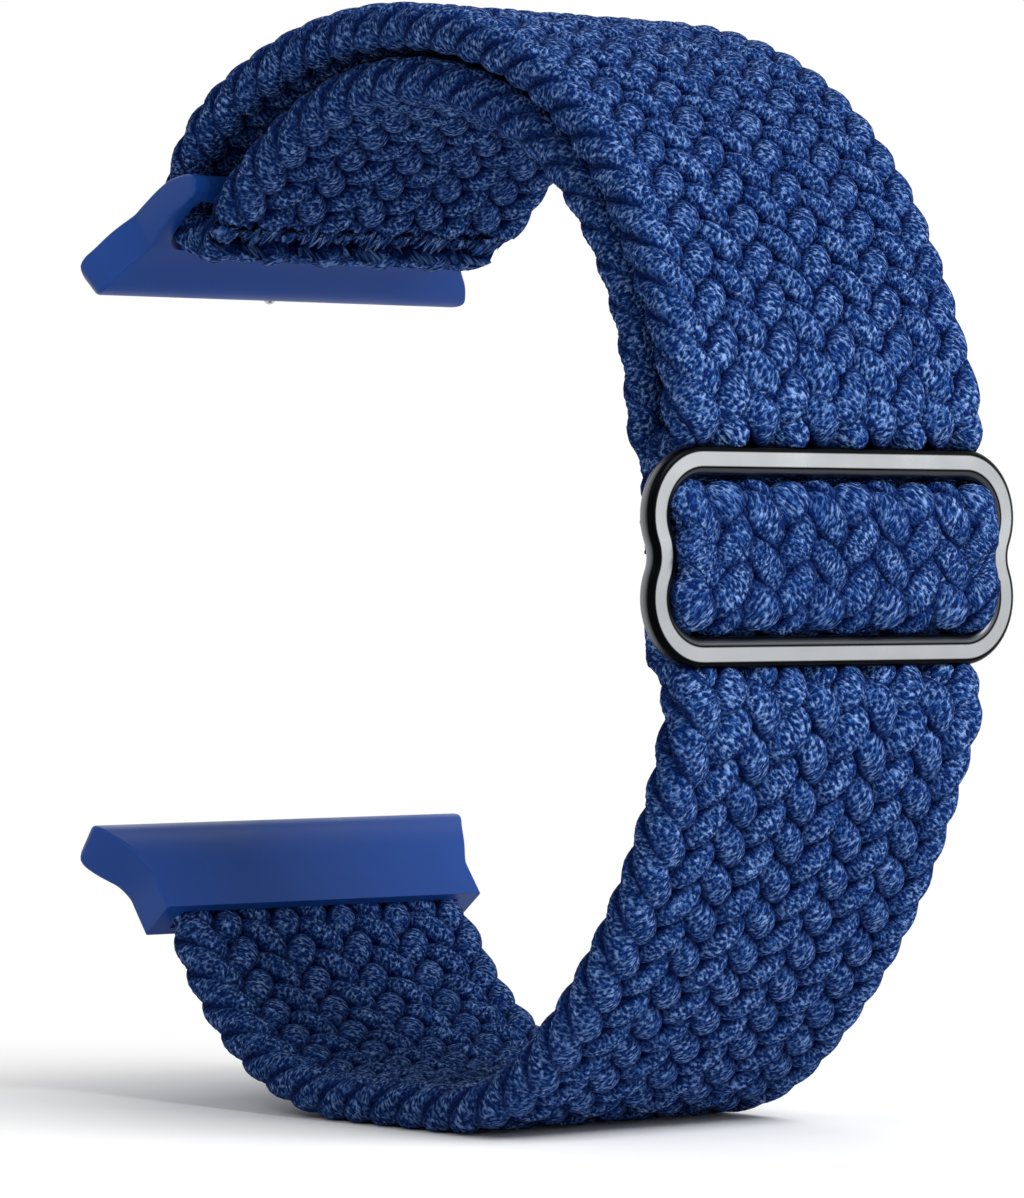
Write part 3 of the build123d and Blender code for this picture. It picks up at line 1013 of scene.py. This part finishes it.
def place_on_route(distance):
    """A point of the middle line in the frame, in metres."""
    out, up, _ = route.at(np.array([distance]))
    return 0.0, (row_shift - out[0]) * MM, up[0] * MM


def colour(red, green, blue):
    """An sRGB colour of 0 to 255 as the shader wants it."""
    parts = [part / 255 for part in (red, green, blue)]
    curved = [((part + 0.055) / 1.055) ** 2.4 for part in parts]
    linear = [part / 12.92 if part <= 0.04045 else bent for part, bent in zip(parts, curved)]
    return (*linear, 1.0)


class Nodes:
    """Short ways to add and join shader nodes in one tree."""

    def __init__(self, tree):
        self.tree = tree

    def new(self, kind, **settings):
        node = self.tree.nodes.new(kind)
        for name, value in settings.items():
            setattr(node, name, value)
        return node

    def join(self, source, target):
        self.tree.links.new(source, target)

    def value(self, socket, source):
        """Sets a socket from a number, a colour or another socket."""
        if isinstance(source, bpy.types.NodeSocket):
            self.join(source, socket)
        else:
            socket.default_value = source

    def math(self, operation, first, second=0.0, third=0.0):
        node = self.new("ShaderNodeMath", operation=operation)
        for socket, source in zip(node.inputs, (first, second, third)):
            self.value(socket, source)
        return node.outputs[0]

    def blend(self, share, first, second):
        node = self.new("ShaderNodeMix", data_type="RGBA")
        self.value(node.inputs["Factor"], share)
        self.value(node.inputs["A"], first)
        self.value(node.inputs["B"], second)
        return node.outputs["Result"]

    def stretch(self, source, low, high, to_low=0.0, to_high=1.0):
        node = self.new("ShaderNodeMapRange")
        for socket, number in zip(node.inputs, (source, low, high, to_low, to_high)):
            self.value(socket, number)
        return node.outputs[0]

    def place_group(self, tree, values):
        """A node group with its own values."""
        node = self.new("ShaderNodeGroup", node_tree=tree)
        for name, value in values.items():
            node.inputs[name].default_value = value
        return node.outputs

    def bump(self, height, strength, distance, shader):
        """Relief of a distance in millimetres on a shader."""
        node = self.new("ShaderNodeBump")
        node.inputs["Strength"].default_value = strength
        node.inputs["Distance"].default_value = distance * MM
        self.join(height, node.inputs["Height"])
        self.join(node.outputs[0], shader.inputs["Normal"])

    def noise(self, spot, scale, detail):
        node = self.new("ShaderNodeTexNoise")
        self.join(spot, node.inputs["Vector"])
        self.value(node.inputs["Scale"], scale)
        node.inputs["Detail"].default_value = detail
        return node.outputs[0]


def new_group(name, inputs, outputs):
    """An empty node group with its sockets, and its nodes' helper."""
    tree = bpy.data.node_groups.new(name, "ShaderNodeTree")
    for socket, kind, start in inputs:
        made = tree.interface.new_socket(socket, in_out="INPUT", socket_type=kind)
        if start is not None:
            made.default_value = start
    for socket, kind in outputs:
        tree.interface.new_socket(socket, in_out="OUTPUT", socket_type=kind)
    nodes = Nodes(tree)
    return tree, nodes, nodes.new("NodeGroupInput").outputs, nodes.new("NodeGroupOutput").inputs


def yarn_group():
    """Crinkled yarn wound round each cord: the height of its curls, and a slow random drift that sets
    how strong the painted highlights on the curls are.
    """
    floats = "NodeSocketFloat"
    tree, nodes, given, result = new_group(
        "crinkled yarn",
        [("Curl Width", floats, 0.17), ("Curl Length", floats, 0.26), ("Lean", floats, 0.2)],
        [("Height", floats), ("Tint", floats)],
    )
    yarn = nodes.new("ShaderNodeUVMap", uv_map="yarn").outputs[0]
    split = nodes.new("ShaderNodeSeparateXYZ")
    nodes.join(yarn, split.inputs[0])
    along, around = split.outputs[0], split.outputs[1]
    radius = cord_circumference / (2 * pi)
    twist = nodes.math("MULTIPLY", along, nodes.math("DIVIDE", given["Lean"], radius))
    angle = nodes.math("MULTIPLY_ADD", around, 2 * pi, twist)
    reach = nodes.math("DIVIDE", radius, given["Curl Length"])
    tube = nodes.new("ShaderNodeCombineXYZ")
    nodes.join(nodes.math("DIVIDE", along, given["Curl Width"]), tube.inputs[0])
    nodes.join(nodes.math("MULTIPLY", nodes.math("COSINE", angle), reach), tube.inputs[1])
    nodes.join(nodes.math("MULTIPLY", nodes.math("SINE", angle), reach), tube.inputs[2])
    curls = nodes.noise(tube.outputs[0], 1.0, 1.5)
    nodes.join(nodes.stretch(curls, 0.34, 0.66), result["Height"])
    drift = nodes.noise(tube.outputs[0], 0.15, 1.0)
    nodes.join(nodes.stretch(drift, 0.3, 0.7), result["Tint"])
    return tree


crinkled_yarn = yarn_group()


def new_material(name, base, roughness, metallic=0.0):
    material = bpy.data.materials.new(name)
    material.use_nodes = True
    nodes = Nodes(material.node_tree)
    shader = material.node_tree.nodes["Principled BSDF"]
    shader.inputs["Base Color"].default_value = base
    shader.inputs["Roughness"].default_value = roughness
    shader.inputs["Metallic"].default_value = metallic
    return material, nodes, shader


def braid_material(name, painted_shade_tone, middle, light):
    """Blue yarn with painted light, from a painted shade tone, a middle tone and a painted highlight
    tone: painted shade between its curls and between the cords, and painted highlights on the curls on
    top.
    """
    material, nodes, shader = new_material(name, middle, 0.9)
    shader.inputs["Specular IOR Level"].default_value = 0.06
    yarn = nodes.place_group(crinkled_yarn, {"Curl Width": 0.17, "Curl Length": 0.26, "Lean": 0.2})
    # the braid's painted light share: high where cords stand out, low in the grooves between them
    depth = nodes.new("ShaderNodeAttribute", attribute_name="depth")
    painted_light_share = nodes.stretch(depth.outputs["Fac"], 0.45, 1.0)
    height = yarn["Height"]
    # painted shade in the crevices between the curls
    shade = nodes.blend(nodes.stretch(height, 0.12, 0.5, 0.1, 1.0), painted_shade_tone, middle)
    # a slow random drift in the strength of the painted highlights
    highlight_drift = nodes.stretch(yarn["Tint"], 0.0, 1.0, 0.55, 1.0)
    # painted highlights on the curls' tops, weaker where the painted light share is low
    painted_highlight = nodes.math("MULTIPLY", nodes.stretch(height, 0.5, 0.95), highlight_drift)
    painted_highlight = nodes.math("MULTIPLY", painted_highlight, nodes.stretch(painted_light_share, 0.0, 1.0, 0.1, 0.8))
    shade = nodes.blend(painted_highlight, shade, light)
    # painted shade between the cords, where the painted light share is low
    shade = nodes.blend(nodes.stretch(painted_light_share, 0.0, 0.8, 0.85, 0.0), shade, painted_shade_tone)
    nodes.join(shade, shader.inputs["Base Color"])
    nodes.bump(height, 1.0, 0.42, shader)
    return material


def surface_grain_group():
    """Fine unevenness in object space, as a height and a mask of worn or dusty patches."""
    floats = "NodeSocketFloat"
    tree, nodes, given, result = new_group(
        "surface grain",
        [("Grain Size", floats, 0.2), ("Patch Size", floats, 4.0)],
        [("Height", floats), ("Patches", floats)],
    )
    spot = nodes.new("ShaderNodeTexCoord").outputs["Object"]
    for size, detail, name in (("Grain Size", 2.0, "Height"), ("Patch Size", 3.0, "Patches")):
        scale = nodes.math("DIVIDE", 1 / MM, given[size])
        nodes.join(nodes.noise(spot, scale, detail), result[name])
    return tree


surface_grain = surface_grain_group()


def plastic_material():
    """Smooth moulded plastic with a faint satin grain and a slightly uneven tint."""
    base, shaded = colour(22, 66, 140), colour(17, 58, 130)
    material, nodes, shader = new_material("moulded connector plastic", base, 0.42)
    shader.inputs["Specular IOR Level"].default_value = 0.18
    grain = nodes.place_group(surface_grain, {"Grain Size": 0.12, "Patch Size": 6.0})
    nodes.join(nodes.blend(grain["Patches"], shaded, base), shader.inputs["Base Color"])
    nodes.join(nodes.stretch(grain["Patches"], 0.3, 0.7, 0.36, 0.48), shader.inputs["Roughness"])
    nodes.bump(grain["Height"], 0.15, 0.01, shader)
    return material


def metal_material(name, base, roughness, grain_size):
    """Plated metal with faint polishing marks."""
    material, nodes, shader = new_material(name, base, roughness, 1.0)
    grain = nodes.place_group(surface_grain, {"Grain Size": grain_size})
    spread = nodes.stretch(grain["Patches"], 0.3, 0.7, roughness * 0.8, roughness * 1.25)
    nodes.join(spread, shader.inputs["Roughness"])
    nodes.bump(grain["Height"], 0.1, 0.003, shader)
    return material, nodes, shader


def slider_material():
    """Dark plating with reflections painted into its colour: a pale painted reflection on the face
    between black painted edges, and walls with a painted sheen that fades to grey behind.
    """
    plated = colour(26, 27, 30)
    material, nodes, shader = metal_material("slider plating with painted reflections", plated, 0.3, 0.5)
    places = nodes.new("ShaderNodeTexCoord")
    facing = nodes.new("ShaderNodeSeparateXYZ")
    nodes.join(places.outputs["Normal"], facing.inputs[0])
    spot = nodes.new("ShaderNodeSeparateXYZ")
    nodes.join(places.outputs["Object"], spot.inputs[0])
    front = nodes.math("MULTIPLY", facing.outputs[1], -1.0)
    # painted sheen: the walls go from black in front to grey towards the back
    face_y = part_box("slider_frame")[0][1]
    behind = nodes.stretch(spot.outputs[1], face_y + 0.3 * MM, face_y + 0.7 * MM)
    wall_painted_sheen = nodes.blend(behind, colour(10, 11, 13), colour(120, 122, 126))
    across = nodes.new("ShaderNodeAttribute", attribute_name="across").outputs["Fac"]
    rim = colour(14, 15, 17)
    # painted reflections across the rim from its inside out (grey on the inner bevel, a black line, the
    # pale face, black on the outer rounding): where a tone starts, where it is full, and the tone
    painted_reflection_bands = (
        (-0.9, -0.8, colour(66, 68, 72)),
        (-0.5, -0.4, colour(6, 7, 9)),
        (-0.34, -0.26, colour(140, 142, 144)),
        (0.5, 0.58, colour(8, 9, 11)),
    )
    for start, full, tone in painted_reflection_bands:
        rim = nodes.blend(nodes.stretch(across, start, full), rim, tone)
    # painted reflections on the rim where it faces forward, the walls' painted sheen where it faces
    # aside
    shade = nodes.blend(nodes.stretch(front, 0.1, 0.4), wall_painted_sheen, rim)
    nodes.join(shade, shader.inputs["Base Color"])
    return material


# each set: a painted shade tone, the yarn's middle tone and a painted highlight tone
braid_tones = colour(0, 22, 84), colour(34, 76, 144), colour(136, 166, 220)
thread_tones = colour(0, 18, 72), colour(34, 68, 128), colour(110, 140, 200)
braid_blue = braid_material("braid yarn", *braid_tones)
thread_blue = braid_material("stitching thread", *thread_tones)
plastic = plastic_material()
plating = slider_material()
steel = metal_material("catch steel", colour(190, 192, 196), 0.3, 0.3)[0]
brass = metal_material("catch brass", colour(200, 170, 110), 0.3, 0.3)[0]


def dress(piece, material):
    piece.data.materials.clear()
    piece.data.materials.append(material)


def braid_pieces():
    """Each stretch of the braid, set on its body where it rides on one, and left fixed in the frame
    where it lies between two.
    """
    edge = cord_half_width + float_pitch / 10
    stretches = [
        ("lower_stretch", "exit", "bottom_back", ("lower_connector_body", "strap")),
        ("bottom_run", "bottom_back", "corner_end", ("strap",)),
        ("front_lower", "corner_end", "crown_start", ("strap", "slider")),
        ("slider_crown", "crown_start", "crown_end", ("slider",)),
        ("front_upper", "crown_end", "front_end", ("slider", "strap")),
        ("outer_top", "front_end", "top_end", ("strap",)),
        ("fold", "top_end", "fold_end", ("strap",)),
        ("inner_top", "fold_end", "inner_top_end", ("strap",)),
        ("inner_tail", "inner_top_end", "tail_end", ("strap", "slider")),
        ("moulded_end", "moulded_end", "exit", ("lower_connector_body",)),
    ]
    for name, start, end, bodies in stretches:
        weave = Weave()
        weave.add(route, at[start], at[end], loop_profile)
        piece = weave.build(f"{name}_weave")
        dress(piece, braid_blue)
        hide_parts(f"braid_{name}")
        if len(bodies) == 1:
            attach(piece, bodies[0])
        else:
            low, high = place_on_route(at[start] + edge), place_on_route(at[end] - edge)
            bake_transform(piece)


def sewn_end_piece():
    """The flattened tab and the loop of it round the slider's centre bar."""
    tape = tape_route()
    weave = Weave()
    weave.add(route, at["tail_end"], at["tab_end"], loop_profile)
    weave.add(tape, tape.marks["start"], tape.marks["end"], tape_profile)
    piece = weave.build("sewn_end_weave")
    dress(piece, braid_blue)
    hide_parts("braid_sewn_end")
    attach(piece, "slider")


def dress_cad_pieces():
    """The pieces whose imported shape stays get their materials."""
    nodes = frame["nodes"]
    finishes = {
        "end_stitching": (thread_blue, "thread"),
        "lower_plunger": (steel, "catch_steel"),
        "upper_plunger": (steel, "catch_steel"),
        "lower_plunger_sleeve": (brass, "catch_brass"),
        "upper_plunger_sleeve": (brass, "catch_brass"),
    }
    for name, (material, slot) in finishes.items():
        dress(nodes[name], material)


def spring_pieces():
    """The catches' springs between catch and sleeve, copied from the imported springs, dressed in steel
    and left fixed in the frame.
    """
    nodes = frame["nodes"]
    for side in ("lower", "upper"):
        solid = nodes[f"{side}_plunger_spring"]
        spots = {}
        for kind in ("plunger", "plunger_sleeve", "plunger_spring"):
            node = nodes[f"{side}_{kind}"]
            spots[kind] = np.array([node.matrix_world @ point.co for point in node.data.vertices])
        inward = spots["plunger_sleeve"].mean(axis=0) - spots["plunger"].mean(axis=0)
        inward /= np.linalg.norm(inward)
        piece = put_in_scene(f"{side}_catch_spring", solid.data.copy())
        piece.matrix_world = solid.matrix_world.copy()
        dress(piece, steel)
        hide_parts(f"{side}_plunger_spring")
        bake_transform(piece)


# camera, floor and light
focal_pixels = 6000
picture_height = 1198
view_turn = 39.6
view_drop = 0.32
camera_side = -246.4
camera_out = 316.96
camera_up = 35.4
floor_shadow_near = 25.0
floor_shadow_far = 75.0
sky_light = 0.34


def add_camera():
    camera = bpy.data.cameras.new("camera")
    camera.sensor_fit = "VERTICAL"
    camera.sensor_height = 36.0
    camera.lens = camera.sensor_height * focal_pixels / picture_height
    camera.clip_start = 0.01
    holder = put_in_scene("camera", camera)
    holder.location = (camera_side * MM, (row_shift - camera_out) * MM, camera_up * MM)
    holder.rotation_euler = (radians(90 - view_drop), 0, radians(-view_turn))
    bpy.context.scene.camera = holder


def add_lamp(name, place, target, size, power):
    """A square soft box that faces its target."""
    light = bpy.data.lights.new(name, "AREA")
    light.shape = "SQUARE"
    light.size = size
    light.energy = power
    lamp = put_in_scene(name, light)
    lamp.location = place
    side, back, rise = (a - b for a, b in zip(place, target))
    lamp.rotation_euler = (atan2(hypot(side, back), rise), 0, atan2(back, side) + pi / 2)


def seen_directly(nodes):
    """1 for what the camera sees, straight or by reflection or through glass, and 0 for light."""
    path = nodes.new("ShaderNodeLightPath")
    seen = nodes.math("MAXIMUM", path.outputs["Is Camera Ray"], path.outputs["Is Glossy Ray"])
    return nodes.math("MAXIMUM", seen, path.outputs["Is Transmission Ray"])


def add_floor():
    """A pale floor that keeps the shadow near the object and runs out into plain white."""
    half = 3.0
    mesh = bpy.data.meshes.new("floor")
    corners = [(-half, -half, 0), (half, -half, 0), (half, half, 0), (-half, half, 0)]
    mesh.from_pydata(corners, [], [(0, 1, 2, 3)])
    floor = put_in_scene("floor", mesh)
    pale = (0.97, 0.97, 0.97, 1.0)
    material, nodes, shader = new_material("pale floor", pale, 0.9)
    shader.inputs["Specular IOR Level"].default_value = 0.0
    spot = nodes.new("ShaderNodeTexCoord").outputs["Object"]
    away = nodes.new("ShaderNodeVectorMath", operation="LENGTH")
    nodes.join(spot, away.inputs[0])
    far = nodes.stretch(away.outputs["Value"], floor_shadow_near * MM, floor_shadow_far * MM)
    white = nodes.new("ShaderNodeEmission")
    mix = nodes.new("ShaderNodeMixShader")
    nodes.join(nodes.math("MULTIPLY", far, seen_directly(nodes)), mix.inputs[0])
    nodes.join(shader.outputs[0], mix.inputs[1])
    nodes.join(white.outputs[0], mix.inputs[2])
    nodes.join(mix.outputs[0], nodes.tree.nodes["Material Output"].inputs["Surface"])
    mesh.materials.append(material)


def add_world():
    world = bpy.data.worlds.new("studio")
    bpy.context.scene.world = world
    world.use_nodes = True
    nodes = Nodes(world.node_tree)
    sky = world.node_tree.nodes["Background"]
    sky.inputs["Color"].default_value = (1, 1, 1, 1)
    strength = nodes.stretch(seen_directly(nodes), 0.0, 1.0, sky_light, 1.0)
    nodes.join(strength, sky.inputs["Strength"])


def add_lights():
    middle = (0.0, 0.0, camera_up * MM)
    add_lamp("key", (0.06, -0.5, 0.5), middle, 0.3, 4.45)
    add_lamp("fill", (0.35, -0.55, 0.2), middle, 0.4, 1.0)
    add_lamp("side", (-0.5, -0.15, 0.45), middle, 0.3, 0.6)
    add_lamp("back", (0.3, 0.5, 0.45), middle, 0.4, 0.6)


braid_pieces()
sewn_end_piece()
slider_piece()
lower_connector_piece()
upper_connector_piece()
dress_cad_pieces()
spring_pieces()
add_camera()
add_floor()
add_world()
add_lights()
bpy.context.scene.view_settings.view_transform = "Standard"
